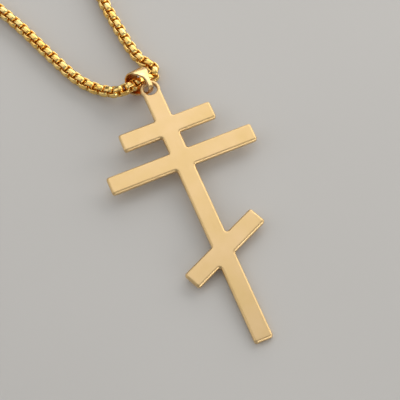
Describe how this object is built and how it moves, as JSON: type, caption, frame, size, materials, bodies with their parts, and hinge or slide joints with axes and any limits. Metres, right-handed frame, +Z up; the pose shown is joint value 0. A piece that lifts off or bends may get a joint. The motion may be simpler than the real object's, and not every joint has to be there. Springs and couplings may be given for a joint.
{
  "type": "orthodox cross pendant on a round box chain",
  "caption": "Flat three-barred cross pendant with a folded band bail on a round box chain with a loop clasp, lying face up on a surface.",
  "frame": {"origin": "on the surface that the pendant lies on, under the middle of the whole piece's box", "axes": "+Z up from the surface, +Y from the cross's foot towards its head and along the chain's loop, +X to the right of the cross seen from above"},
  "size_m": [0.1082, 0.3299, 0.007],
  "materials": {
    "satin_gold": "satin gold plating with a fine brushed grain",
    "polished_gold": "polished gold plating",
    "chain_gold": "polished gold plating on small links"
  },
  "bodies": {
    "root": {"cross": "satin_gold", "bail": "polished_gold", "chain": "chain_gold", "clasp": "polished_gold", "clasp_ring": "polished_gold", "end_ring": "polished_gold"}
  },
  "joints": []
}
